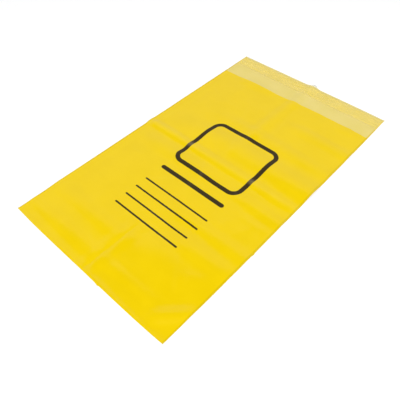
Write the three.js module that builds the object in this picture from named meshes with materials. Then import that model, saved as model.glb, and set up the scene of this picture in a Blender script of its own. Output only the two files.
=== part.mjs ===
// A flat, empty waste bag of yellow polythene film with a self-seal lip, lying on its back wall.
// Millimetres. X runs across the bag, Y from the bottom fold to the lip, Z up. The origin is the middle of
// the space the bag takes up, on the surface it lies on.
import * as THREE from "three";

// The bag as it lies flat
const BAG_WIDTH = 200;
const POCKET_DEPTH = 313;
const LIP_LENGTH = 39;

// The film, thickened to a wall that a solid can hold
const FILM = 0.4;
const WELD_WIDTH = 3;
const BOTTOM_TUCK = 2;
const EDGE_NOSE = 0.2;

// Air left between the walls, deepest in the middle of each of the two halves
const PUFF = 1.1;
const PUFF_MARGIN = 42;

// The crease across the bag, where it was folded in half: a ridge from edge to edge
const CROSS_CREASE_FROM_BOTTOM = 176;
const CROSS_RISE = 3.2;
const CROSS_REACH = 12;
const CROSS_LOW_SHARE = 0.3;

// The crease along the bag, a ridge towards the lip and a valley towards the bottom fold
const LENGTH_CREASE_AT_BOTTOM = 101;
const LENGTH_CREASE_AT_LIP = 105;
const RIDGE_RISE = 1.2;
const RIDGE_REACH = 15;
const VALLEY_RISE = 0.8;
const VALLEY_REACH = 20;

// The strips on the lip
const LINER_WIDTH = 21;
const LINER_THICKNESS = 0.25;
const ADHESIVE_WIDTH = 15;
const ADHESIVE_THICKNESS = 0.25;

// How finely the film is divided
const FLANK_STEPS = 4;
const FIELD_STEPS = 4;
const FLANK_CROWDING = 1.5;

const BAG_LENGTH = POCKET_DEPTH + LIP_LENGTH;
const BOTTOM_Y = -BAG_LENGTH / 2;
const LIP_END_Y = BAG_LENGTH / 2;
const MOUTH_Y = BOTTOM_Y + POCKET_DEPTH;
const CROSS_Y = BOTTOM_Y + CROSS_CREASE_FROM_BOTTOM;
const POCKET_HALF = BAG_WIDTH / 2 - WELD_WIDTH;
const LINER_START_Y = LIP_END_Y - LINER_WIDTH;
const ADHESIVE_INSET = (LINER_WIDTH - ADHESIVE_WIDTH) / 2;
const ADHESIVE_START_Y = LINER_START_Y + ADHESIVE_INSET;
const ADHESIVE_END_Y = LIP_END_Y - ADHESIVE_INSET;

function between(from, to, share) {
  return from + (to - from) * share;
}

// Where the lengthwise crease crosses a given Y
function lengthCreaseAt(y) {
  const share = (y - BOTTOM_Y) / BAG_LENGTH;
  return between(LENGTH_CREASE_AT_BOTTOM, LENGTH_CREASE_AT_LIP, share) - BAG_WIDTH / 2;
}

// A sharp crest, 1 on the crease and flat again at its reach
function crest(distance, reach) {
  return Math.max(0, 1 - Math.abs(distance) / reach) ** 2;
}

// The hump on each side of a valley crease: 0 on the crease and at its reach, 1 at a third of it
function hump(distance, reach) {
  const share = Math.min(1, Math.abs(distance) / reach);
  return (27 / 4) * share * (1 - share) ** 2;
}

// The ridge across the bag stands highest at the left edge and sinks towards the right one
function crossRise(x) {
  return CROSS_RISE * between(1, CROSS_LOW_SHARE, x / BAG_WIDTH + 0.5);
}

// How far the back wall is lifted off the surface below it
function lift(x, y) {
  const cross = crest(y - CROSS_Y, CROSS_REACH);
  const fromCrease = x - lengthCreaseAt(y);
  const along = y > CROSS_Y
    ? RIDGE_RISE * crest(fromCrease, RIDGE_REACH)
    : VALLEY_RISE * hump(fromCrease, VALLEY_REACH);
  return crossRise(x) * cross + (1 - cross) * along;
}

// A smooth rise from 0 at an edge to 1 at the margin from it
function swell(distance) {
  const share = Math.min(1, Math.max(0, distance / PUFF_MARGIN));
  return share * share * (3 - 2 * share);
}

// The gap between the two walls, closed at both side welds and at the bottom fold
function pocketGap(x, y) {
  const sides = swell(POCKET_HALF - Math.abs(x));
  const bottom = swell(y - BOTTOM_Y - BOTTOM_TUCK);
  return PUFF * sides * bottom;
}

// Distances that lie close together near a crease and evenly beyond its reach
function stations(crease, flankEnd, fieldEnd) {
  const places = [];
  for (let step = 1; step <= FLANK_STEPS; step += 1) {
    places.push(between(crease, flankEnd, (step / FLANK_STEPS) ** FLANK_CROWDING));
  }
  for (let step = 1; step <= FIELD_STEPS; step += 1) {
    places.push(between(flankEnd, fieldEnd, step / FIELD_STEPS));
  }
  return places;
}

// The X of every line of vertices at a given Y, from the left edge to the right edge
function columnsAt(y) {
  const crease = lengthCreaseAt(y);
  const left = stations(crease, crease - RIDGE_REACH, -POCKET_HALF);
  const right = stations(crease, crease + RIDGE_REACH, POCKET_HALF);
  return [-BAG_WIDTH / 2, ...left.reverse(), crease, ...right, BAG_WIDTH / 2];
}

// The Y of every line of vertices, from the bottom fold to the end of the lip
const below = stations(CROSS_Y, CROSS_Y - CROSS_REACH, BOTTOM_Y + BOTTOM_TUCK);
const above = stations(CROSS_Y, CROSS_Y + CROSS_REACH, MOUTH_Y);
const lipRows = [LINER_START_Y, ADHESIVE_START_Y, ADHESIVE_END_Y, LIP_END_Y];
const ROWS = [BOTTOM_Y, ...below.reverse(), CROSS_Y, ...above, ...lipRows];
const MOUTH_ROW = ROWS.indexOf(MOUTH_Y);
const LAST_ROW = ROWS.length - 1;
const LAST_COLUMN = columnsAt(0).length - 1;

// Collects the vertices and faces of one closed body
class Body {
  constructor() {
    this.positions = [];
    this.faces = [];
  }

  point(x, y, z) {
    this.positions.push(x, y, z);
    return this.positions.length / 3 - 1;
  }

  // One sheet of vertices over the film's grid, from one row to another, at a height given by a function
  sheet(firstRow, lastRow, heightAt, nose = 0) {
    const rows = new Map();
    for (let row = firstRow; row <= lastRow; row += 1) {
      const y = ROWS[row] + (row === 0 ? nose : 0);
      const columns = columnsAt(ROWS[row]).map((x, column) => {
        const inset = column === 0 ? nose : column === LAST_COLUMN ? -nose : 0;
        return this.point(x + inset, y, heightAt(x, ROWS[row]));
      });
      rows.set(row, columns);
    }
    return rows;
  }

  quad(a, b, c, d) {
    this.faces.push(a, b, c, a, c, d);
  }

  // The faces of a sheet, upwards or downwards, within a range of rows and columns
  skin(sheet, rows, columns, upwards) {
    for (let row = rows[0]; row < rows[1]; row += 1) {
      for (let column = columns[0]; column < columns[1]; column += 1) {
        const near = [sheet.get(row)[column], sheet.get(row)[column + 1]];
        const far = [sheet.get(row + 1)[column], sheet.get(row + 1)[column + 1]];
        if (upwards) this.quad(near[0], near[1], far[1], far[0]);
        else this.quad(near[0], far[0], far[1], near[1]);
      }
    }
  }

  // An upright band from a lower sheet to a higher one, along the rows at each long edge
  sideBands(low, high, rows) {
    for (let row = rows[0]; row < rows[1]; row += 1) {
      const end = LAST_COLUMN;
      this.quad(low.get(row + 1)[0], low.get(row)[0], high.get(row)[0], high.get(row + 1)[0]);
      this.quad(low.get(row)[end], low.get(row + 1)[end], high.get(row + 1)[end], high.get(row)[end]);
    }
  }

  // An upright band across the bag on one row, facing the bottom fold or the lip
  crossBand(low, high, row, columns, facesLip) {
    for (let column = columns[0]; column < columns[1]; column += 1) {
      const lower = [low.get(row)[column], low.get(row)[column + 1]];
      const upper = [high.get(row)[column], high.get(row)[column + 1]];
      if (facesLip) this.quad(lower[1], lower[0], upper[0], upper[1]);
      else this.quad(lower[0], lower[1], upper[1], upper[0]);
    }
  }

  geometry() {
    const geometry = new THREE.BufferGeometry();
    geometry.setAttribute("position", new THREE.Float32BufferAttribute(this.positions, 3));
    geometry.setIndex(this.faces);
    geometry.computeVertexNormals();
    return geometry;
  }
}

// The bag: two walls of one sheet of film, joined at the bottom fold and the side welds, open at the mouth
function bagFilm() {
  const body = new Body();
  const whole = [0, LAST_COLUMN];
  const pocket = [1, LAST_COLUMN - 1];
  const backTop = (x, y) => lift(x, y) + FILM;
  const frontUnder = (x, y) => backTop(x, y) + pocketGap(x, y);
  const frontTop = (x, y) => frontUnder(x, y) + FILM;

  const under = body.sheet(0, LAST_ROW, lift, EDGE_NOSE);
  const floor = body.sheet(0, LAST_ROW, backTop);
  const ceiling = body.sheet(1, MOUTH_ROW, frontUnder);
  const top = body.sheet(0, MOUTH_ROW, frontTop, EDGE_NOSE);

  // Where the pocket closes, its ceiling and its floor are the same line
  for (const [row, columns] of ceiling) {
    columns[1] = floor.get(row)[1];
    columns[LAST_COLUMN - 1] = floor.get(row)[LAST_COLUMN - 1];
    if (row === 1) ceiling.set(row, floor.get(row));
  }

  body.skin(under, [0, LAST_ROW], whole, false);
  body.skin(top, [0, MOUTH_ROW], whole, true);
  body.skin(floor, [1, MOUTH_ROW], pocket, true);
  body.skin(ceiling, [1, MOUTH_ROW], pocket, false);
  body.skin(floor, [MOUTH_ROW, LAST_ROW], whole, true);
  body.sideBands(under, floor, [0, LAST_ROW]);
  body.sideBands(floor, top, [0, MOUTH_ROW]);
  body.crossBand(under, floor, 0, whole, false);
  body.crossBand(floor, top, 0, whole, false);
  body.crossBand(ceiling, top, MOUTH_ROW, pocket, true);
  body.crossBand(floor, top, MOUTH_ROW, [0, 1], true);
  body.crossBand(floor, top, MOUTH_ROW, [LAST_COLUMN - 1, LAST_COLUMN], true);
  body.crossBand(under, floor, LAST_ROW, whole, true);
  return body.geometry();
}

// A flat strip across the lip, lying on what is below it
function lipStrip(startY, endY, base, thickness) {
  const body = new Body();
  const rows = [ROWS.indexOf(startY), ROWS.indexOf(endY)];
  const whole = [0, LAST_COLUMN];
  const low = body.sheet(rows[0], rows[1], (x, y) => lift(x, y) + base);
  const high = body.sheet(rows[0], rows[1], (x, y) => lift(x, y) + base + thickness);
  body.skin(low, rows, whole, false);
  body.skin(high, rows, whole, true);
  body.sideBands(low, high, rows);
  body.crossBand(low, high, rows[0], whole, false);
  body.crossBand(low, high, rows[1], whole, true);
  return body.geometry();
}

function piece(name, geometry, color, roughness) {
  const mesh = new THREE.Mesh(geometry, new THREE.MeshStandardMaterial({ color, roughness, metalness: 0 }));
  mesh.name = name;
  return mesh;
}

const adhesive = lipStrip(ADHESIVE_START_Y, ADHESIVE_END_Y, FILM, ADHESIVE_THICKNESS);
const liner = lipStrip(LINER_START_Y, LIP_END_Y, FILM + ADHESIVE_THICKNESS, LINER_THICKNESS);

const bag = new THREE.Group();
bag.name = "waste_bag";
bag.add(piece("bag_film", bagFilm(), 0xf4d32c, 0.38));
bag.add(piece("adhesive_strip", adhesive, 0xe6dcae, 0.6));
bag.add(piece("release_liner", liner, 0xefe6c4, 0.3));

export default bag;
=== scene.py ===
"""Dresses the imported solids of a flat, empty waste bag of yellow film with a self-seal lip.

Metres throughout. The bag lies on its back wall, X across it, Y from the bottom fold to the lip, Z up.
"""
import logging
import math
from dataclasses import dataclass, field
from enum import Enum

import bpy
import numpy as np
from mathutils import Matrix, Vector


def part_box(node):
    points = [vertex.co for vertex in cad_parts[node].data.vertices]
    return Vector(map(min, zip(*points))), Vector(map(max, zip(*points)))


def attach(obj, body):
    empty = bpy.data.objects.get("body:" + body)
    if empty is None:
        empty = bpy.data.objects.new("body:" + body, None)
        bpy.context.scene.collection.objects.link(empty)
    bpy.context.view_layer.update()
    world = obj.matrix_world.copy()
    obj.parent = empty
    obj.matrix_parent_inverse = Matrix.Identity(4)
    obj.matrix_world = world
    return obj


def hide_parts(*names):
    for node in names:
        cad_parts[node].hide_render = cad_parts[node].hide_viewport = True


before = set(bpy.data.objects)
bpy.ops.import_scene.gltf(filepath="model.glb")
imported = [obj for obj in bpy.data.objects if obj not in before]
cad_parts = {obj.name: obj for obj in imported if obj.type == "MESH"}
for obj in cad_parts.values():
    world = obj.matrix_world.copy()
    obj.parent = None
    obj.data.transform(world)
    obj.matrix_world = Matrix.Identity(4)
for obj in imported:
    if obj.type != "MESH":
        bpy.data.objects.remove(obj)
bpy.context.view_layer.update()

MM = 0.001
BODY = "root"
SMOOTH = {"interpolation_type": "SMOOTHSTEP"}
SHARP_ANGLE = math.radians(50)
# 0 spaces rows and columns evenly, and towards 1 they crowd at the ends
CROWDING = 0.6
# The rows before the pocket at the fold, and the columns beside it at each weld
RIM = 2
# The two noise values between which a finish goes from its one tone to its other
PATCHES = (0.35, 0.65)

log = logging.getLogger("waste_bag")

Grid = np.ndarray
Pair = tuple[float, float]
Colour = tuple[float, float, float]
Piece = bpy.types.Object
Material = bpy.types.Material


def paint(red: int, green: int, blue: int) -> Colour:
    """Turns a display colour, each part 0 to 255, into the linear one that a shader takes."""
    shares = (red / 255, green / 255, blue / 255)
    return tuple(s / 12.92 if s <= 0.04045 else ((s + 0.055) / 1.055) ** 2.4 for s in shares)


class Value:
    """A number or a vector inside a node tree, on which arithmetic adds nodes."""

    def __init__(self, graph: "Graph", socket: bpy.types.NodeSocket) -> None:
        """Keeps the tree and the output socket."""
        self.graph = graph
        self.socket = socket

    def math(self, operation: str, *others: "Value | float") -> "Value":
        """Adds a Math node with this value as its first operand."""
        return self.graph.math(operation, self, *others)

    def __add__(self, other: "Value | float") -> "Value":
        """Adds."""
        return self.math("ADD", other)

    __radd__ = __add__

    def __sub__(self, other: "Value | float") -> "Value":
        """Subtracts."""
        return self.math("SUBTRACT", other)

    def __rsub__(self, other: float) -> "Value":
        """Subtracts this from a number."""
        return self.graph.math("SUBTRACT", other, self)

    def __mul__(self, other: "Value | float") -> "Value":
        """Multiplies."""
        return self.math("MULTIPLY", other)

    __rmul__ = __mul__

    def __truediv__(self, other: "Value | float") -> "Value":
        """Divides."""
        return self.math("DIVIDE", other)

    def __abs__(self) -> "Value":
        """Takes the absolute value."""
        return self.math("ABSOLUTE")

    def below(self, start: float, end: float) -> "Value":
        """Gives 1 up to start, 0 from end on, and a smooth fall between."""
        return 1 - self.above(start, end)

    def above(self, start: float, end: float) -> "Value":
        """Gives 0 up to start, 1 from end on, and a smooth rise between."""
        span = {"Value": self, "From Min": start, "From Max": end}
        return Value(self.graph, self.graph.node("ShaderNodeMapRange", SMOOTH, span).outputs["Result"])


def opaque(colour: Value | Colour) -> Value | tuple[float, ...]:
    """Gives a plain colour its full opacity, and leaves a value as it is."""
    return colour if isinstance(colour, Value) else (*colour, 1.0)


class Graph:
    """A node tree under construction, of a material or of Geometry Nodes."""

    def __init__(self, tree: bpy.types.NodeTree) -> None:
        """Empties the tree and keeps it."""
        self.tree = tree
        self.tree.nodes.clear()

    def node(self, kind: str, settings: dict | None = None, inputs: dict | None = None) -> bpy.types.Node:
        """Adds one node.

        Args:
            kind: The node's type.
            settings: Its properties, set before its sockets.
            inputs: Values or links, by the socket's name or number.

        Returns:
            The node.
        """
        made = self.tree.nodes.new(kind)
        for name, setting in (settings or {}).items():
            setattr(made, name, setting)
        for name, filling in (inputs or {}).items():
            source = filling.socket if isinstance(filling, Value) else filling
            if isinstance(source, bpy.types.NodeSocket):
                self.tree.links.new(source, made.inputs[name])
            else:
                made.inputs[name].default_value = source
        return made

    def math(self, operation: str, *operands: "Value | float") -> Value:
        """Adds one Math node with its operands in order."""
        made = self.node("ShaderNodeMath", {"operation": operation}, dict(enumerate(operands)))
        return Value(self, made.outputs[0])

    def noise(self, place: Value, scale: float, detail: float = 2.0, roughness: float = 0.5) -> Value:
        """Adds a noise around one half, with some finer layers and how strong those are."""
        inputs = {"Vector": place, "Scale": scale, "Detail": detail, "Roughness": roughness}
        return Value(self, self.node("ShaderNodeTexNoise", {}, inputs).outputs[0])

    def mix(self, share: "Value | float", first: "Value | Colour", second: "Value | Colour") -> Value:
        """Mixes two colours, the first at a share of 0 and the second at 1."""
        inputs = {0: share, 6: opaque(first), 7: opaque(second)}
        return Value(self, self.node("ShaderNodeMix", {"data_type": "RGBA"}, inputs).outputs[2])


class Shader(Graph):
    """The node tree of one material around a single Principled shader."""

    def __init__(self, name: str) -> None:
        """Makes the material and its place inputs.

        Args:
            name: The material's name.
        """
        self.material = bpy.data.materials.new(name)
        self.material.use_nodes = True
        super().__init__(self.material.node_tree)
        self.place = Value(self, self.node("ShaderNodeTexCoord").outputs["Object"])
        apart = self.node("ShaderNodeSeparateXYZ", {}, {0: self.place}).outputs
        self.x, self.y, self.z = (Value(self, number) for number in apart[:3])

    def attribute(self, name: str) -> Value:
        """Reads a number stored on the mesh."""
        made = self.node("ShaderNodeAttribute", {"attribute_name": name})
        return Value(self, made.outputs["Fac"])

    def stretched(self, share: float) -> Value:
        """Scales the place along X by a share, for marks that run across the bag."""
        inputs = {0: self.x * share, 1: self.y, 2: self.z}
        return Value(self, self.node("ShaderNodeCombineXYZ", {}, inputs).outputs[0])

    def bump(self, height: Value, depth: float) -> Value:
        """Turns a height mask into a normal, with 0 and 1 a depth in metres apart."""
        made = self.node("ShaderNodeBump", {}, {"Strength": 1.0, "Distance": depth, "Height": height})
        return Value(self, made.outputs[0])

    def finish(self, sockets: dict) -> Material:
        """Adds the Principled shader and the output.

        Args:
            sockets: Values or links for the shader's inputs.

        Returns:
            The material.
        """
        shader = self.node("ShaderNodeBsdfPrincipled", {}, sockets)
        self.node("ShaderNodeOutputMaterial", {}, {"Surface": shader.outputs[0]})
        return self.material


@dataclass(frozen=True)
class PrintedPanel:
    """A blank write-on panel in dark ink: a rounded frame above plain ruled lines."""

    centre_x: float = 5.0 * MM
    frame_low: float = -28.0 * MM
    frame_high: float = 51.0 * MM
    frame_half_width: float = 44.0 * MM
    frame_stroke: float = 5.0 * MM
    frame_radius: float = 9.0 * MM
    heading_y: float = -43.0 * MM
    heading_stroke: float = 5.0 * MM
    rule_count: int = 4
    first_rule_y: float = -66.0 * MM
    rule_step: float = 13.5 * MM
    rule_stroke: float = 2.0 * MM
    rule_half_width: float = 42.0 * MM
    edge_softness: float = 0.18 * MM
    bleed: float = 0.5 * MM
    bleed_scale: float = 900.0

    def rounded_box(self, x: Value, y: Value, half: Pair, radius: float) -> Value:
        """Measures the distance to a rounded rectangle's outline.

        Args:
            x: The place across the bag, from the rectangle's centre.
            y: The place along the bag, from the rectangle's centre.
            half: Half its width and half its height.
            radius: The radius of its corners.

        Returns:
            The distance, negative inside.
        """
        beyond_x = abs(x) - (half[0] - radius)
        beyond_y = abs(y) - (half[1] - radius)
        outer_x = beyond_x.math("MAXIMUM", 0.0)
        outer_y = beyond_y.math("MAXIMUM", 0.0)
        outside = (outer_x * outer_x + outer_y * outer_y).math("SQRT")
        inside = beyond_x.math("MAXIMUM", beyond_y).math("MINIMUM", 0.0)
        return outside + inside - radius

    def covered(self, distance: Value) -> Value:
        """Turns a distance to an ink shape's edge into ink, with a soft edge."""
        return distance.below(-self.edge_softness, self.edge_softness)

    def bar(self, x: Value, y: Value, level: float, stroke: float) -> Value:
        """Draws one ruled line of a given stroke at its level along the bag."""
        half = (self.rule_half_width, stroke / 2)
        return self.covered(self.rounded_box(x, y - level, half, stroke / 2))

    def ink(self, shader: Shader) -> Value:
        """Draws the whole panel.

        Args:
            shader: The film's tree.

        Returns:
            The ink, 0 to 1.
        """
        bleed = (shader.noise(shader.place, self.bleed_scale, 1.0) - 0.5) * self.bleed
        x = shader.x - self.centre_x
        y = shader.y + bleed
        middle = (self.frame_low + self.frame_high) / 2
        inset = self.frame_stroke / 2
        half = (self.frame_half_width - inset, (self.frame_high - self.frame_low) / 2 - inset)
        outline = self.rounded_box(x + bleed, y - middle, half, self.frame_radius)
        ink = self.covered(abs(outline) - inset)
        ink = ink.math("MAXIMUM", self.bar(x, y, self.heading_y, self.heading_stroke))
        for rule in range(self.rule_count):
            level = self.first_rule_y - rule * self.rule_step
            ink = ink.math("MAXIMUM", self.bar(x, y, level, self.rule_stroke))
        return ink


@dataclass(frozen=True)
class FilmFinish:
    """Yellow low-density polythene: paler where one wall lies alone, with a pale painted highlight along
    its creases and grey painted sheen on its ink where they cross it.
    """

    folds: "FoldPlan"
    printed: PrintedPanel
    body: tuple[Colour, Colour] = ((0.785, 0.555, 0.0005), (0.805, 0.572, 0.001))
    lip: tuple[Colour, Colour] = ((0.73, 0.594, 0.15), (0.755, 0.617, 0.183))
    # Pale tint painted along the creases and handling creases as a highlight, standing in for the light
    # their crests catch
    crease_painted_highlight: Colour = paint(246, 226, 120)
    weld_dark: Colour = paint(196, 172, 14)
    ink_colour: Colour = (0.033, 0.02, 0.001)
    # Grey painted onto the ink as a sheen where creases cross it
    ink_painted_sheen: Colour = paint(132, 124, 108)
    ink_roughness: float = 0.55
    roughness: float = 0.2
    roughness_spread: float = 0.08
    shine: float = 0.25
    mottle_scale: float = 38.0
    die_line_scale: float = 420.0
    die_line_stretch: float = 0.05
    crinkle_scale: float = 150.0
    crinkle_depth: float = 0.04 * MM
    lip_blend: float = 0.3 * MM
    weld_band: Pair = (1.6 * MM, 0.4 * MM)
    weld_share: float = 0.35
    # Half width of the crease marks that carry the painted highlight, the ink's painted sheen and the
    # ink's wear
    crease_mark_reach: float = 6.0 * MM
    waver: float = 0.8 * MM
    waver_scale: float = 60.0
    lengthwise_mark_share: float = 0.15
    # Shares of the pale painted highlight on the creases and on the handling creases
    crease_highlight_share: float = 0.03
    handling_highlight_share: float = 0.02
    ink_wear: float = 0.1
    ink_wear_scale: float = 700.0
    ink_wear_range: Pair = (0.3, 0.62)
    # Shares of the grey painted sheen on the ink along the creases and the handling creases
    crease_ink_sheen: float = 0.32
    handling_ink_sheen: float = 0.08

    def crease_lines(self, shader: Shader) -> Value:
        """Marks the two long creases as soft lines.

        Args:
            shader: The film's tree.

        Returns:
            The mask, 1 on a crease.
        """
        waver = (shader.noise(shader.place, self.waver_scale, 2.0) - 0.5) * self.waver
        across = abs(shader.y - self.folds.cross_y + waver).below(0.0, self.crease_mark_reach)
        along = abs(shader.x - self.folds.crease_x(shader.y) + waver).below(0.0, self.crease_mark_reach)
        return across.math("MAXIMUM", along * self.lengthwise_mark_share)

    def build(self) -> Material:
        """Makes the film's material.

        Returns:
            The material.
        """
        shader = Shader("yellow_film")
        mottle = shader.noise(shader.place, self.mottle_scale, 4.0, 0.55)
        die_lines = shader.noise(shader.stretched(self.die_line_stretch), self.die_line_scale, 2.0)
        crinkle = shader.noise(shader.place, self.crinkle_scale, 3.0, 0.6)
        creases = self.crease_lines(shader)
        handled = shader.attribute("handling")
        on_lip = shader.attribute("past_mouth").above(0.0, self.lip_blend)
        edge = abs(shader.x).above(*(self.folds.half_width - inset for inset in self.weld_band))

        thin = (mottle * 0.8 + die_lines * 0.2).above(*PATCHES)
        colour = shader.mix(on_lip, shader.mix(thin, *self.body), shader.mix(thin, *self.lip))
        colour = shader.mix(edge * self.weld_share, colour, self.weld_dark)
        # Painted highlight: the film goes pale along the creases and handling creases, as where their
        # crests catch the light
        painted_highlight_share = creases * self.crease_highlight_share + handled * self.handling_highlight_share
        colour = shader.mix(painted_highlight_share, colour, self.crease_painted_highlight)
        patchy = shader.noise(shader.place, self.ink_wear_scale, 2.0).above(*self.ink_wear_range)
        ink = self.printed.ink(shader) * shader.attribute("front_wall")
        ink = ink * (1 - creases * creases * patchy * self.ink_wear)
        # Painted sheen: the ink turns grey along the creases and handling creases, as where their crests
        # reflect the light
        ink_sheen_share = handled * self.handling_ink_sheen + creases * self.crease_ink_sheen
        colour = shader.mix(ink, colour, shader.mix(ink_sheen_share, self.ink_colour, self.ink_painted_sheen))

        spread = (mottle - 0.5) * self.roughness_spread
        rough = spread + self.roughness + ink * (self.ink_roughness - self.roughness)
        relief = crinkle * 0.6 + die_lines * 0.1 + ink * 0.02
        return shader.finish({
            "Base Color": colour,
            "Roughness": rough,
            "Normal": shader.bump(relief, self.crinkle_depth),
            "Specular IOR Level": self.shine,
        })


@dataclass(frozen=True)
class LinerFinish:
    """Thin clear release film with a greyish cast and fine streaks along its length."""

    start_y: float
    end_y: float
    tones: tuple[Colour, Colour] = ((0.88, 0.77, 0.24), (0.9, 0.81, 0.38))
    lifted_tone: Colour = (0.62, 0.63, 0.6)
    alpha: float = 0.18
    alpha_spread: float = 0.1
    lifted_alpha: float = 0.6
    lifted_band: Pair = (0.4 * MM, 0.9 * MM)
    start_fade: float = 4 * MM
    roughness: float = 0.28
    roughness_spread: float = 0.16
    streak_scale: float = 520.0
    streak_stretch: float = 0.12
    streak_range: Pair = (0.35, 0.7)
    cloud_scale: float = 70.0
    relief_depth: float = 0.3 * MM

    def build(self) -> Material:
        """Makes the liner's material.

        Returns:
            The material.
        """
        shader = Shader("release_film")
        streaks = shader.noise(shader.stretched(self.streak_stretch), self.streak_scale, 3.0, 0.6)
        cloud = shader.noise(shader.place, self.cloud_scale, 3.0)
        colour = shader.mix(streaks.above(*self.streak_range), *self.tones)
        lifted = shader.y.above(*(self.end_y + past for past in self.lifted_band))
        colour = shader.mix(lifted, colour, self.lifted_tone)
        clear = (streaks + cloud - 1.0) * self.alpha_spread + self.alpha
        start = shader.y.above(self.start_y, self.start_y + self.start_fade)
        alpha = clear * start * (1 - lifted) + lifted * self.lifted_alpha
        relief = streaks * 0.7 + cloud * 0.3
        return shader.finish({
            "Base Color": colour,
            "Roughness": (cloud - 0.5) * self.roughness_spread + self.roughness,
            "Alpha": alpha,
            "Normal": shader.bump(relief, self.relief_depth),
        })


@dataclass(frozen=True)
class AdhesiveFinish:
    """Tacky pale adhesive, a little uneven where it was laid on."""

    tones: tuple[Colour, Colour] = ((0.82, 0.64, 0.07), (0.86, 0.68, 0.1))
    roughness: float = 0.4
    roughness_spread: float = 0.2
    laid_scale: float = 260.0
    laid_stretch: float = 0.2
    relief_depth: float = 0.1 * MM

    def build(self) -> Material:
        """Makes the adhesive's material.

        Returns:
            The material.
        """
        shader = Shader("adhesive")
        laid = shader.noise(shader.stretched(self.laid_stretch), self.laid_scale, 3.0)
        return shader.finish({
            "Base Color": shader.mix(laid.above(*PATCHES), *self.tones),
            "Roughness": (laid - 0.5) * self.roughness_spread + self.roughness,
            "Normal": shader.bump(laid, self.relief_depth),
        })


def between(start: Grid | float, end: Grid | float, share: Grid | Value) -> Grid | Value:
    """Goes from a start to an end by a share."""
    return start + (end - start) * share


def turned(east: Grid, north: Grid, turn: float) -> tuple[Grid, Grid]:
    """Gives places along and across a line that is turned by an angle in radians."""
    cosine, sine = math.cos(turn), math.sin(turn)
    return east * cosine + north * sine, north * cosine - east * sine


def crest(distance: Grid, reach: float) -> Grid:
    """Shapes a sharp crest, 1 on the crease and flat again at its reach."""
    return np.maximum(0.0, 1 - np.abs(distance) / reach) ** 2


def rounded(distance: Grid, reach: float) -> Grid:
    """Shapes a rounded ridge, 1 in the middle and flat again at its reach."""
    return (1 + np.cos(np.pi * np.clip(np.abs(distance) / reach, 0, 1))) / 2


def hump(distance: Grid, reach: float) -> Grid:
    """Shapes the hump beside a valley crease: 0 on it and at its reach, 1 at a third of that."""
    share = np.minimum(1.0, np.abs(distance) / reach)
    return 27 / 4 * share * (1 - share) ** 2


def swell(distance: Grid, margin: float) -> Grid:
    """Shapes a smooth rise from 0 at an edge to 1 at a margin from it."""
    share = np.clip(distance / margin, 0, 1)
    return share * share * (3 - 2 * share)


def fading(distance: Grid, reach: float, full: float) -> Grid:
    """Gives 1 up to a full share of the reach, and a smooth fall to 0 at the reach."""
    return 1 - swell(np.abs(distance) - reach * full, reach * (1 - full))


def not_below(height: Grid, softness: float) -> Grid:
    """Keeps a height at or above zero with a soft bend, as film laid on a surface."""
    return (height + np.sqrt(height * height + softness * softness)) / 2


def graded(start: float, end: float, steps: int) -> Grid:
    """Spaces stations between two ends in some steps, closer together near each end."""
    even = np.linspace(0, 1, steps + 1)
    return between(start, end, even - CROWDING * np.sin(2 * np.pi * even) / (2 * np.pi))


@dataclass(frozen=True)
class Waves:
    """Smooth, irregular undulation made of waves in random directions, with a fixed seed."""

    shortest: float
    longest: float
    seed: int
    count: int = 14

    def at(self, x: Grid, y: Grid) -> Grid:
        """Gives the undulation, about -1 to 1.

        Args:
            x: Places across the bag.
            y: Places along the bag.

        Returns:
            The height at each place.
        """
        random = np.random.default_rng(self.seed)
        total = np.zeros_like(x)
        for _ in range(self.count):
            turn = random.uniform(0, 2 * np.pi)
            length = random.uniform(self.shortest, self.longest)
            phase = random.uniform(0, 2 * np.pi)
            total += np.cos(2 * np.pi * turned(x, y, turn)[0] / length + phase)
        return total / math.sqrt(self.count)


@dataclass(frozen=True)
class SoftRidge:
    """A low, rounded ridge that packing left. Lengths are in millimetres, the turn in degrees."""

    x: float
    y: float
    turn: float
    half_length: float
    reach: float
    rise: float
    full: float = 0.35

    def lift(self, x: Grid, y: Grid) -> Grid:
        """Gives the ridge's lift in metres."""
        along, across = turned(x / MM - self.x, y / MM - self.y, math.radians(self.turn))
        return self.rise * MM * rounded(across, self.reach) * fading(along, self.half_length, self.full)


@dataclass(frozen=True)
class RipplePatch:
    """A small area of fine ripples. Lengths are in millimetres, the turn in degrees."""

    x: float
    y: float
    half_width: float
    half_length: float
    wavelength: float
    turn: float
    height: float
    full: float = 0.3
    wander: float = 0.8
    wander_along: float = 0.31
    wander_across: float = 0.07

    def lift(self, x: Grid, y: Grid) -> Grid:
        """Gives the ripples' lift.

        Args:
            x: Places across the bag, in metres.
            y: Places along the bag, in metres.

        Returns:
            The lift in metres.
        """
        east, north = x / MM - self.x, y / MM - self.y
        run = turned(east, north, math.radians(self.turn))[0]
        run = run + self.wander * np.sin(north * self.wander_along + east * self.wander_across)
        from_middle = np.sqrt((east / self.half_width) ** 2 + (north / self.half_length) ** 2)
        fade = fading(from_middle, 1, self.full)
        return self.height * MM * np.cos(2 * np.pi * run / self.wavelength) * fade


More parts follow.
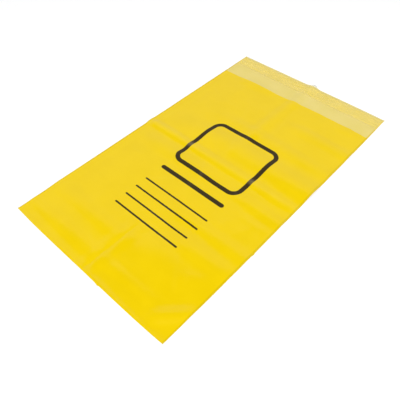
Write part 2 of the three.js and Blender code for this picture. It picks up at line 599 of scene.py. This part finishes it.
@dataclass(frozen=True)
class PackingMarks:
    """The low ridges and ripples that the bag kept from being packed flat."""

    # Each row: X, Y, turn, half length, reach, rise
    ridges: tuple[SoftRidge, ...] = tuple(SoftRidge(*row) for row in (
        (40, 27, 0, 140, 21, 2.40),
        (30, 60, 0, 105, 13, 1.25),
        (70, 97, 0, 60, 13, 1.35),
        (-45, 133, 2, 34, 12, 1.00),
        (10, 130, 0, 12, 9, 0.45),
        (77, 131, 0, 15, 10, 0.60),
        (-57, 113, 88, 20, 7, 0.20),
        (-91, 92, 90, 30, 9, 0.25),
        (72, -23, 0, 60, 12, 1.00),
        (-38, -22, 0, 68, 14, 1.45),
        (80, -40, 0, 22, 7, 0.30),
        (58, -75, 0, 66, 12, 0.90),
        (70, -97, 0, 46, 16, 1.30),
        (60, -118, 0, 60, 30, 1.10),
        (80, -119, 40, 26, 11, 0.35),
        (89, -154, 46, 26, 11, 1.20),
        (42, -157, 1, 46, 10, 0.60),
        (-45, -158, 0, 88, 12, 0.72),
        (-45, -130, 0, 80, 13, 0.92),
    ))
    ripples: tuple[RipplePatch, ...] = (
        RipplePatch(72, -14, 30, 12, 5.2, 0, 0.045),
        RipplePatch(76, -54, 22, 26, 8.5, 35, 0.06),
        RipplePatch(-90, 40, 14, 90, 7.5, 62, 0.04),
        RipplePatch(-88, -70, 16, 90, 9.0, 70, 0.04),
    )

    def lift(self, x: Grid, y: Grid) -> Grid:
        """Gives the lift of all ridges and ripples together."""
        return sum(mark.lift(x, y) for mark in (*self.ridges, *self.ripples))


@dataclass(frozen=True)
class HandlingCreases:
    """Faint, short creases that handling left, scattered over the film with a fixed seed."""

    half_width: float
    half_length: float
    seed: int
    count: int = 70
    lengths: Pair = (16 * MM, 60 * MM)
    reaches: Pair = (6 * MM, 15 * MM)
    slope: float = 0.013
    shares: Pair = (0.3, 1.0)
    ways: Pair = (-0.5, 1.0)
    full: float = 0.4
    mark_share: float = 0.35

    def at(self, x: Grid, y: Grid) -> tuple[Grid, Grid]:
        """Gives the creases' lift and how near each place is to one.

        Args:
            x: Places across the bag.
            y: Places along the bag.

        Returns:
            The lift in metres, and the nearness from 0 to 1.
        """
        random = np.random.default_rng(self.seed)
        lift = np.zeros_like(x)
        near = np.zeros_like(x)
        for _ in range(self.count):
            middle = random.uniform(-1, 1, 2) * (self.half_width, self.half_length)
            turn = random.uniform(0, np.pi)
            half = random.uniform(*self.lengths) / 2
            reach = random.uniform(*self.reaches)
            rise = self.slope * reach * random.uniform(*self.shares) * random.choice(self.ways)
            along, across = turned(x - middle[0], y - middle[1], turn)
            fade = fading(along, half, self.full)
            lift += rise * crest(across, reach) * fade
            near = np.maximum(near, crest(across, reach * self.mark_share) * fade)
        return lift, near


@dataclass(frozen=True)
class FoldPlan:
    """The creases left from folding the bag in four, and how they lift the film."""

    half_width: float
    bottom_y: float
    lip_end_y: float
    lip_length: float = 39 * MM
    cross_from_bottom: float = 176 * MM
    cross_rise: Pair = (2.6 * MM, 1.0 * MM)
    cross_fall: float = 0.6
    cross_reach_low: float = 10.0 * MM
    cross_reach_high: float = 8.0 * MM
    cross_reach_far: float = 40 * MM
    cross_far_share: float = 0.38
    edge_share: float = 0.45
    edge_reach: float = 9 * MM
    crease_ends: Pair = (1 * MM, 5 * MM)
    ridge_rise: float = 1.35 * MM
    ridge_reach: float = 12 * MM
    ridge_start: float = 25 * MM
    ridge_full: float = 85 * MM
    least: float = 0.2
    valley_rise: float = 0.5 * MM
    valley_reach: float = 14 * MM
    valley_end: float = 78 * MM
    valley_full: float = 50 * MM
    hem_rise: float = 0.8 * MM
    hem_reach: float = 9 * MM
    mouth_sag: Pair = (3.1 * MM, 0.8 * MM)
    mouth_step: float = 30 * MM
    mouth_ear_x: float = 78 * MM
    mouth_ear: float = 0.8 * MM
    mouth_ear_width: float = 4 * MM

    @property
    def length(self) -> float:
        """The bag's whole length with its lip."""
        return self.lip_end_y - self.bottom_y

    @property
    def mouth_y(self) -> float:
        """Where the front wall ends."""
        return self.lip_end_y - self.lip_length

    @property
    def cross_y(self) -> float:
        """Where the crease across the bag lies."""
        return self.bottom_y + self.cross_from_bottom

    def crease_x(self, y: Grid | Value) -> Grid | Value:
        """Gives the place across the bag of the lengthwise crease."""
        return between(*self.crease_ends, (y - self.bottom_y) / self.length)

    def mouth_line(self, x: Grid) -> Grid:
        """Places the mouth's edge, lower on the left and with a small ear on the right.

        Args:
            x: Places across the bag.

        Returns:
            The edge's Y.
        """
        sag = between(*self.mouth_sag, swell(x + self.mouth_step, 2 * self.mouth_step))
        ear = self.mouth_ear * np.exp(-(((x - self.mouth_ear_x) / self.mouth_ear_width) ** 2))
        return self.mouth_y - sag + ear

    def lift(self, x: Grid, y: Grid) -> Grid:
        """Gives how far the creases lift the back wall off the surface below.

        Args:
            x: Places across the bag.
            y: Places along the bag.

        Returns:
            The lift in metres.
        """
        from_cross = y - self.cross_y
        lower = rounded(from_cross, self.cross_reach_low)
        quick = rounded(from_cross, self.cross_reach_high)
        upper = between(quick, rounded(from_cross, self.cross_reach_far), self.cross_far_share)
        cross = np.where(from_cross > 0, upper, lower)
        from_crease = x - self.crease_x(y)
        above_cross = swell(from_cross - self.ridge_start, self.ridge_full - self.ridge_start)
        ridge = self.ridge_rise * rounded(from_crease, self.ridge_reach)
        ridge = ridge * between(self.least, 1, above_cross)
        from_bottom = y - self.bottom_y
        near_bottom = swell(self.valley_end - from_bottom, self.valley_end - self.valley_full)
        valley = self.valley_rise * hump(from_crease, self.valley_reach)
        valley = valley * between(self.least, 1, near_bottom)
        along = np.where(from_cross > 0, ridge, valley)
        share = np.clip(x / (2 * self.half_width) + 0.5, 0, 1) ** self.cross_fall
        held = between(self.edge_share, 1, swell(self.half_width - np.abs(x), self.edge_reach))
        rise = between(*self.cross_rise, share) * held
        hem = self.hem_rise * crest(from_bottom, self.hem_reach)
        return rise * cross + (1 - cross) * along + hem


class Facing(Enum):
    """Which way the faces of a sheet point."""

    UP = "up"
    DOWN = "down"


class ShellMesh:
    """One closed body made of sheets of vertices on a common grid, joined along their edges."""

    def __init__(self) -> None:
        """Starts with nothing."""
        self.points: list[Grid] = []
        self.quads: list[Grid] = []
        self.marks: dict[str, list[Grid]] = {}
        self.count = 0

    def sheet(self, x: Grid, y: Grid, z: Grid, **marks: Grid | float) -> Grid:
        """Adds the vertices of one sheet.

        Args:
            x: Their X, by row and column.
            y: Their Y.
            z: Their Z.
            marks: Numbers stored on the vertices, by attribute name.

        Returns:
            The vertices' numbers, by row and column.
        """
        x, y, z = np.broadcast_arrays(x, y, z)
        self.points.append(np.stack([x.ravel(), y.ravel(), z.ravel()], axis=1))
        for name, mark in marks.items():
            self.marks.setdefault(name, []).append(np.broadcast_to(mark, x.shape).ravel())
        numbers = np.arange(self.count, self.count + x.size).reshape(x.shape)
        self.count += x.size
        return numbers

    def skin(self, sheet: Grid, facing: Facing) -> None:
        """Covers a sheet with faces.

        Args:
            sheet: Its vertices' numbers.
            facing: Which way the faces point.
        """
        corners = [sheet[:-1, :-1], sheet[:-1, 1:], sheet[1:, 1:], sheet[1:, :-1]]
        if facing is Facing.DOWN:
            corners.reverse()
        self.quads.append(np.stack([c.ravel() for c in corners], axis=1))

    def band(self, low: Grid, high: Grid) -> None:
        """Joins a lower and an upper line with faces to the right of their run, seen from above."""
        self.quads.append(np.stack([low[:-1], low[1:], high[1:], high[:-1]], axis=1))

    def mesh(self, name: str) -> bpy.types.Mesh:
        """Makes the mesh, without vertices that no face uses.

        Args:
            name: The mesh's name.

        Returns:
            The mesh, smooth but for its film edges.
        """
        points = np.concatenate(self.points)
        quads = np.concatenate(self.quads)
        used, renumbered = np.unique(quads, return_inverse=True)
        mesh = bpy.data.meshes.new(name)
        mesh.from_pydata(points[used].tolist(), [], renumbered.reshape(quads.shape).tolist())
        for mark, parts in self.marks.items():
            layer = mesh.attributes.new(mark, "FLOAT", "POINT")
            layer.data.foreach_set("value", np.concatenate(parts)[used].astype(np.float32))
        mesh.shade_smooth()
        mesh.set_sharp_from_angle(angle=SHARP_ANGLE)
        mesh.validate()
        return mesh


def put(name: str, data: bpy.types.ID) -> Piece:
    """Puts an object of a mesh, a light or a camera into the scene.

    Args:
        name: The object's name.
        data: What it shows.

    Returns:
        The object.
    """
    made = bpy.data.objects.new(name, data)
    bpy.context.scene.collection.objects.link(made)
    return made


def add_piece(name: str, mesh: bpy.types.Mesh, material: Material) -> Piece:
    """Puts a mesh into the scene with its material."""
    mesh.materials.append(material)
    return put(name, mesh)


def declare(piece: Piece, node: str | None = None) -> None:
    """Hangs a piece on the body's empty, hides the solid that it stands for, and logs its face count.

    Args:
        piece: The piece.
        node: The solid that it stands for, if any.
    """
    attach(piece, BODY)
    if node:
        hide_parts(node)
    log.info("%s: %d faces", piece.name, len(piece.data.polygons))


@dataclass
class BagFilm:
    """The bag itself: two walls of one sheet, folded at the bottom and welded at both sides."""

    folds: FoldPlan
    wall: float = 0.12 * MM
    weld_width: float = 3.0 * MM
    bottom_tuck: float = 2.0 * MM
    puff: float = 1.1 * MM
    puff_margin: float = 42.0 * MM
    puff_level: float = 0.8
    puff_spread: float = 0.1
    least_gap: float = 0.03 * MM
    gap_softness: float = 0.05 * MM
    gap_margin: float = 5.0 * MM
    lift_softness: float = 0.08 * MM
    lift_share: float = 0.98
    wave_height: float = 0.18 * MM
    wave_level: float = 0.3
    ruffle_height: float = 0.12 * MM
    ruffle_reach: float = 9.0 * MM
    ruffle_stretch: float = 0.3
    curl: float = 0.4 * MM
    curl_reach: float = 6.0 * MM
    curl_level: float = 0.6
    curl_spread: float = 0.5
    bow_left: float = 0.9 * MM
    bow_right: float = 1.3 * MM
    bow_bottom: float = 1.2 * MM
    bow_lip: float = 0.7 * MM
    bow_depth: float = 60.0 * MM
    tab_y: float = -65.0 * MM
    tab_size: float = 1.5 * MM
    nub_x: float = 22.0 * MM
    nub_size: float = 1.4 * MM
    nick_reach: float = 2.2 * MM
    slant_reach: float = 16.0 * MM
    half_columns: int = 54
    bottom_rows: int = 104
    upper_rows: int = 74
    lip_rows: int = 20
    marks: PackingMarks = PackingMarks()
    broad: Waves = field(default_factory=lambda: Waves(55 * MM, 150 * MM, seed=11))
    narrow: Waves = field(default_factory=lambda: Waves(16 * MM, 40 * MM, seed=23))

    def rows(self) -> tuple[Grid, int]:
        """Spaces the rows from the bottom fold to the end of the lip.

        Returns:
            Their Y, and the number of the row at the mouth.
        """
        folds = self.folds
        tuck = folds.bottom_y + self.bottom_tuck
        lower = graded(tuck, folds.cross_y, self.bottom_rows)
        upper = graded(folds.cross_y, folds.mouth_y, self.upper_rows)
        lip = graded(folds.mouth_y, folds.lip_end_y, self.lip_rows)
        hem = np.array([folds.bottom_y, folds.bottom_y + self.bottom_tuck / 2])
        return np.concatenate([hem, lower, upper[1:], lip[1:]]), RIM + self.bottom_rows + self.upper_rows

    def grid(self, rows: Grid) -> tuple[Grid, Grid]:
        """Lays the columns out on both sides of the lengthwise crease.

        Args:
            rows: The Y of every row.

        Returns:
            X and Y, by row and column.
        """
        half = self.folds.half_width
        pocket_half = half - self.weld_width
        shares = graded(0.0, 1.0, self.half_columns)
        crease = self.folds.crease_x(rows)[:, None]
        left = crease + (-pocket_half - crease) * shares[None, :0:-1]
        right = crease + (pocket_half - crease) * shares[None, 1:]
        weld = np.array([0.0, self.weld_width / 2])
        edge_left = np.broadcast_to(-half + weld, (len(rows), RIM))
        edge_right = np.broadcast_to(half - weld[::-1], (len(rows), RIM))
        x = np.concatenate([edge_left, left, crease, right, edge_right], axis=1)
        y = np.broadcast_to(rows[:, None], x.shape)
        near_mouth = np.maximum(0, 1 - np.abs(y - self.folds.mouth_y) / self.slant_reach)
        slanted = y + (self.folds.mouth_line(x) - self.folds.mouth_y) * near_mouth
        return self.bowed(x, slanted)

    def bowed(self, x: Grid, y: Grid) -> tuple[Grid, Grid]:
        """Bows the bag's edges outwards a little, most at the middle of each.

        Args:
            x: Places across the straight bag.
            y: Places along it.

        Returns:
            The moved places.
        """
        folds = self.folds
        along = 2 * (y - folds.bottom_y) / folds.length - 1
        across = x / folds.half_width
        bow_x = np.where(x > 0, self.bow_right, -self.bow_left) * np.abs(across)
        from_end = np.where(y > folds.cross_y, folds.lip_end_y - y, y - folds.bottom_y)
        bow_y = np.where(y > folds.cross_y, self.bow_lip, -self.bow_bottom)
        near_end = np.clip(1 - from_end / self.bow_depth, 0, 1) ** 2
        tab = self.tab_size * crest(y - self.tab_y, self.nick_reach) * np.maximum(across, 0) ** 40
        at_bottom = np.clip(1 - (y - folds.bottom_y) / self.nick_reach, 0, 1)
        nub = self.nub_size * crest(x - self.nub_x, self.nick_reach) * at_bottom
        return x + bow_x * (1 - along ** 4) + tab, y + bow_y * (1 - across ** 4) * near_end - nub

    def back_wall(self, x: Grid, y: Grid) -> Grid:
        """Gives the height of the back wall's underside.

        Args:
            x: Places across the bag.
            y: Places along the bag.

        Returns:
            The height, nowhere below the surface.
        """
        folds = self.folds
        waves = self.wave_height * (self.broad.at(x, y) - self.wave_level)
        near_edge = np.exp(-(folds.half_width - np.abs(x)) / self.ruffle_reach)
        ruffle = self.ruffle_height * near_edge * self.narrow.at(x * self.ruffle_stretch, y)
        raised = folds.lift(x, y) + self.marks.lift(x, y) + waves + np.maximum(ruffle, 0)
        return not_below(raised, self.lift_softness) * self.lift_share

    def front_gap(self, x: Grid, y: Grid, handling: Grid) -> Grid:
        """Gives the gap between the two walls.

        Args:
            x: Places across the bag.
            y: Places along the bag.
            handling: The small creases' lift.

        Returns:
            The gap, closed at the welds and the bottom fold.
        """
        folds = self.folds
        pocket_half = folds.half_width - self.weld_width
        sides = pocket_half - np.abs(x)
        bottom = y - folds.bottom_y - self.bottom_tuck
        air = swell(sides, self.puff_margin) * swell(bottom, self.puff_margin)
        curled = self.curl_level + self.curl_spread * self.narrow.at(x, y * 0)
        curl = self.curl * np.exp((y - folds.mouth_y) / self.curl_reach) * curled
        puffed = self.puff_level + self.puff_spread * self.broad.at(x + 1, y)
        loose = self.puff * puffed * air + handling + np.maximum(curl, 0)
        near_edge = swell(np.minimum(sides, bottom), self.gap_margin)
        return (not_below(loose, self.gap_softness) + self.least_gap) * near_edge

    def build(self, material: Material) -> Piece:
        """Makes the film as one closed body with an open pocket.

        Args:
            material: The film's material.

        Returns:
            The piece.
        """
        rows, mouth = self.rows()
        x, y = self.grid(rows)
        creases = HandlingCreases(self.folds.half_width, self.folds.length / 2, seed=5)
        handling, near = creases.at(x, y)
        underside = self.back_wall(x, y)
        floor_z = underside + self.wall
        gap = self.front_gap(x, y, handling)
        past = np.broadcast_to(rows[:, None] - self.folds.mouth_y, x.shape)
        nose = np.zeros_like(x)
        nose[:, 0] = self.wall / 2
        nose[:, -1] = -self.wall / 2
        hem = np.zeros_like(y)
        hem[0, :] = self.wall / 2

        shell = ShellMesh()
        marks = {"handling": near, "past_mouth": past}
        under = shell.sheet(x + nose, y + hem, underside, front_wall=0.0, **marks)
        floor = shell.sheet(x, y, floor_z, front_wall=0.0, **marks)
        front = slice(0, mouth + 1)
        ceiling_z = (floor_z + gap)[front]
        marks = {name: mark[front] for name, mark in marks.items()}
        ceiling = shell.sheet(x[front], y[front], ceiling_z, front_wall=0.0, **marks)
        top_x, top_y = (x + nose)[front], (y + hem)[front]
        top = shell.sheet(top_x, top_y, ceiling_z + self.wall, front_wall=1.0, **marks)

        first, last = RIM, x.shape[1] - RIM - 1
        ceiling[:, first] = floor[front, first]
        ceiling[:, last] = floor[front, last]
        ceiling[RIM, :] = floor[RIM, :]
        pocket = slice(first, last + 1)
        shell.skin(under, Facing.DOWN)
        shell.skin(top, Facing.UP)
        shell.skin(floor[RIM:mouth + 1, pocket], Facing.UP)
        shell.skin(ceiling[RIM:, pocket], Facing.DOWN)
        shell.skin(floor[mouth:], Facing.UP)
        shell.band(under[0], floor[0])
        shell.band(floor[0], top[0])
        shell.band(under[:, -1], floor[:, -1])
        shell.band(floor[front, -1], top[:, -1])
        shell.band(under[::-1, 0], floor[::-1, 0])
        shell.band(floor[mouth::-1, 0], top[::-1, 0])
        shell.band(under[-1, ::-1], floor[-1, ::-1])
        shell.band(ceiling[-1, last:first - 1:-1], top[-1, last:first - 1:-1])
        shell.band(floor[mouth, :last - 1:-1], top[-1, :last - 1:-1])
        shell.band(floor[mouth, first::-1], top[-1, first::-1])
        return add_piece("waste_bag_film", shell.mesh("waste_bag_film"), material)


@dataclass
class LipStrip:
    """A thin strip across the lip that follows the film below it."""

    film: BagFilm
    name: str
    start_y: float
    end_y: float
    base: float
    thickness: float
    columns: int = 150
    row_count: int = 14

    def extra_lift(self, x: Grid, y: Grid) -> Grid:
        """Gives how far the strip stands off what is below it, beyond its own base."""
        return np.zeros_like(x)

    def overhang(self, x: Grid, y: Grid) -> Grid:
        """Gives how far the strip's places are moved out past the lip's end."""
        return np.zeros_like(x)

    def build(self, material: Material) -> Piece:
        """Makes the strip as one closed body.

        Args:
            material: The strip's material.

        Returns:
            The piece.
        """
        half = self.film.folds.half_width
        across = np.linspace(-half, half, self.columns + 1)
        x, y = np.meshgrid(across, graded(self.start_y, self.end_y, self.row_count))
        y = y + self.overhang(x, y)
        low_z = self.film.back_wall(x, y) + self.film.wall + self.base + self.extra_lift(x, y)
        shell = ShellMesh()
        low = shell.sheet(x, y, low_z)
        high = shell.sheet(x, y, low_z + self.thickness)
        shell.skin(low, Facing.DOWN)
        shell.skin(high, Facing.UP)
        shell.band(low[0], high[0])
        shell.band(low[:, -1], high[:, -1])
        shell.band(low[-1, ::-1], high[-1, ::-1])
        shell.band(low[::-1, 0], high[::-1, 0])
        return add_piece(self.name, shell.mesh(self.name), material)


@dataclass
class ReleaseLiner(LipStrip):
    """The clear strip over the adhesive, rippled along its length and buckled at the crease."""

    buckle_x: float = 6 * MM
    buckle_rise: float = 1.5 * MM
    buckle_out: float = 2.1 * MM
    buckle_half_width: float = 7 * MM
    buckle_reach: float = 11 * MM
    ripple_height: float = 0.16 * MM
    ripple_stretch: float = 0.12
    settle: float = 0.06 * MM
    settle_reach: float = 2.0 * MM
    ripples: Waves = field(default_factory=lambda: Waves(3.5 * MM, 9 * MM, seed=41, count=10))

    def extra_lift(self, x: Grid, y: Grid) -> Grid:
        """Gives the buckle at the lip's end and the fine ripples.

        Args:
            x: Places across the bag.
            y: Places along the bag.

        Returns:
            The lift in metres.
        """
        sideways = np.exp(-(((x - self.buckle_x) / self.buckle_half_width) ** 2))
        outwards = swell(y - (self.end_y - self.buckle_reach), self.buckle_reach)
        inner = swell(y - self.start_y, self.settle_reach)
        ripple = np.maximum(self.ripples.at(x * self.ripple_stretch, y), 0) * self.ripple_height * inner
        return self.buckle_rise * sideways * outwards + ripple - self.settle * (1 - inner)

    def overhang(self, x: Grid, y: Grid) -> Grid:
        """Gives how far the buckled liner stands out past the lip's end."""
        at_end = np.clip(1 - (self.end_y - y) / self.buckle_reach, 0, 1) ** 2
        return self.buckle_out * rounded(x - self.buckle_x, self.buckle_half_width) * at_end


@dataclass
class WeldBead:
    """The fine, lumpy bead that the hot knife leaves along a side weld."""

    film: BagFilm
    side: int
    radius: float = 0.26 * MM
    lump_share: float = 0.35
    lump_scale: float = 190.0
    spacing: float = 1.6 * MM
    sides: int = 8
    clearance: float = 1.3

    @property
    def sizes(self) -> dict[str, float | int]:
        """The bead's sizes, by the names of the tree's inputs."""
        sizes = {"Radius": self.radius, "Lump Share": self.lump_share, "Spacing": self.spacing}
        return {**sizes, "Sides": self.sides}

    def path(self) -> Piece:
        """Lays the bead's path along the welded edge.

        Returns:
            A line of vertices from the bottom fold to the end of the lip.
        """
        rows = self.film.rows()[0]
        x = np.full_like(rows, self.side * self.film.folds.half_width)
        z = self.film.back_wall(x, rows) + self.film.wall
        points = np.stack([x, rows, np.maximum(z, self.radius * self.clearance)], axis=1)
        edges = [(i, i + 1) for i in range(len(points) - 1)]
        mesh = bpy.data.meshes.new("weld_path")
        mesh.from_pydata(points.tolist(), edges, [])
        return put("weld_path", mesh)

    def tree(self, material: Material) -> bpy.types.GeometryNodeTree:
        """Builds the Geometry Nodes that turn the path into a bead.

        Args:
            material: The bead's material.

        Returns:
            The node tree, with its sizes as named inputs.
        """
        tree = bpy.data.node_groups.new("weld_bead", "GeometryNodeTree")
        graph = Graph(tree)
        tree.interface.new_socket("Path", in_out="INPUT", socket_type="NodeSocketGeometry")
        for name, size in self.sizes.items():
            kind = "NodeSocketInt" if isinstance(size, int) else "NodeSocketFloat"
            tree.interface.new_socket(name, in_out="INPUT", socket_type=kind)
        tree.interface.new_socket("Bead", in_out="OUTPUT", socket_type="NodeSocketGeometry")
        given = graph.node("NodeGroupInput").outputs
        curve = graph.node("GeometryNodeMeshToCurve", {}, {"Mesh": given["Path"]})
        even = graph.node(
            "GeometryNodeResampleCurve",
            {"mode": "LENGTH"},
            {"Curve": curve.outputs[0], "Length": given["Spacing"]},
        )
        place = Value(graph, graph.node("GeometryNodeInputPosition").outputs[0])
        noise = graph.noise(place, self.lump_scale, 2.0)
        lumps = (noise - 0.5) * 2 * Value(graph, given["Lump Share"]) + 1
        radius = Value(graph, given["Radius"]) * lumps
        circle = {"Resolution": given["Sides"], "Radius": 1.0}
        profile = graph.node("GeometryNodeCurvePrimitiveCircle", {}, circle).outputs[0]
        run = {"Curve": even.outputs[0], "Profile Curve": profile, "Scale": radius, "Fill Caps": True}
        bead = graph.node("GeometryNodeCurveToMesh", {}, run)
        for kind in ("GeometryNodeSetShadeSmooth", "GeometryNodeRealizeInstances"):
            bead = graph.node(kind, {}, {0: bead.outputs[0]})
        bead = graph.node("GeometryNodeSetMaterial", {}, {0: bead.outputs[0], "Material": material})
        graph.node("NodeGroupOutput", {}, {"Bead": bead.outputs[0]})
        return tree

    def build(self, material: Material) -> Piece:
        """Makes the bead.

        Args:
            material: The bead's material.

        Returns:
            The piece, a plain mesh.
        """
        path = self.path()
        modifier = path.modifiers.new("bead", "NODES")
        modifier.node_group = self.tree(material)
        for item in modifier.node_group.interface.items_tree:
            if item.name in self.sizes:
                modifier[item.identifier] = self.sizes[item.name]
        evaluated = path.evaluated_get(bpy.context.evaluated_depsgraph_get())
        mesh = bpy.data.meshes.new_from_object(evaluated)
        name = "weld_bead_right" if self.side > 0 else "weld_bead_left"
        mesh.name = name
        mesh.materials.clear()
        bpy.data.objects.remove(path)
        return add_piece(name, mesh, material)


@dataclass(frozen=True)
class SoftLight:
    """A rectangular light that faces the bag."""

    name: str
    place: tuple[float, float, float]
    width: float
    height: float
    power: float

    def build(self) -> None:
        """Hangs the light."""
        data = bpy.data.lights.new(self.name, "AREA")
        data.shape = "RECTANGLE"
        data.size = self.width
        data.size_y = self.height
        data.energy = self.power
        lamp = put(self.name, data)
        lamp.location = self.place
        lamp.rotation_euler = (-Vector(self.place)).to_track_quat("-Z", "Y").to_euler()


@dataclass
class Studio:
    """A plain white floor, soft lights and a camera at the photograph's viewing angle."""

    camera_place: tuple[float, float, float] = (0.21406, -0.24978, 0.32616)
    camera_azimuth: float = 43.72
    camera_elevation: float = 49.81
    camera_roll: float = -1.434
    lens: float = 39.445
    sensor: float = 36.0
    floor_size: float = 12.0
    floor_tone: Colour = (0.95, 0.95, 0.95)
    floor_roughness: float = 0.9
    ambient: float = 0.05
    lights: tuple[SoftLight, ...] = (
        SoftLight("main_light", (1.2, -1.5, 3.4), 3.0, 3.0, 196.0),
        SoftLight("far_wall_light", (-1.86, 2.24, 1.68), 6.0, 3.57, 55.0),
    )

    def camera(self) -> None:
        """Sets the camera."""
        azimuth, elevation = math.radians(self.camera_azimuth), math.radians(self.camera_elevation)
        ahead = Vector((
            -math.sin(azimuth) * math.cos(elevation),
            math.cos(azimuth) * math.cos(elevation),
            -math.sin(elevation),
        ))
        data = bpy.data.cameras.new("camera")
        data.sensor_width = self.sensor
        data.lens = self.lens
        data.clip_start = 0.01
        camera = put("camera", data)
        aim = ahead.to_track_quat("-Z", "Y").to_matrix().to_4x4()
        roll = Matrix.Rotation(math.radians(self.camera_roll), 4, "Z")
        camera.matrix_world = Matrix.Translation(self.camera_place) @ aim @ roll
        bpy.context.scene.camera = camera

    def build(self) -> None:
        """Sets up the floor, the lights, the surroundings and the camera."""
        scene = bpy.context.scene
        scene.view_settings.view_transform = "Standard"
        half = self.floor_size / 2
        mesh = bpy.data.meshes.new("floor")
        corners = [(-half, -half, 0), (half, -half, 0), (half, half, 0), (-half, half, 0)]
        mesh.from_pydata(corners, [], [(0, 1, 2, 3)])
        finish = {"Base Color": opaque(self.floor_tone), "Roughness": self.floor_roughness}
        floor = add_piece("floor", mesh, Shader("floor_white").finish(finish))
        world = bpy.data.worlds.new("surroundings")
        world.use_nodes = True
        world.node_tree.nodes["Background"].inputs["Color"].default_value = (1, 1, 1, 1)
        world.node_tree.nodes["Background"].inputs["Strength"].default_value = self.ambient
        scene.world = world
        for light in self.lights:
            light.build()
        self.camera()


def main() -> None:
    """Builds the bag, piece by piece, and the studio round it."""
    logging.basicConfig(level=logging.INFO, format="%(name)s: %(message)s")
    low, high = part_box("bag_film")
    folds = FoldPlan(half_width=high.x, bottom_y=low.y, lip_end_y=high.y)
    film_finish = FilmFinish(folds, PrintedPanel()).build()
    film = BagFilm(folds)
    bag = film.build(film_finish)
    declare(bag, "bag_film")
    2 * folds.half_width

    for side in (-1, 1):
        declare(WeldBead(film, side).build(film_finish))

    adhesive_low, adhesive_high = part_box("adhesive_strip")
    start, end = adhesive_low.y, adhesive_high.y
    strip = LipStrip(film, "adhesive_band", start, end, base=0.01 * MM, thickness=0.05 * MM)
    declare(strip.build(AdhesiveFinish().build()), "adhesive_strip")

    liner_low, liner_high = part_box("release_liner")
    start, end = liner_low.y, liner_high.y
    liner = ReleaseLiner(film, "liner_strip", start, end, base=0.08 * MM, thickness=0.03 * MM)
    declare(liner.build(LinerFinish(start, end).build()), "release_liner")

    Studio().build()


if __name__ == "__main__":
    main()
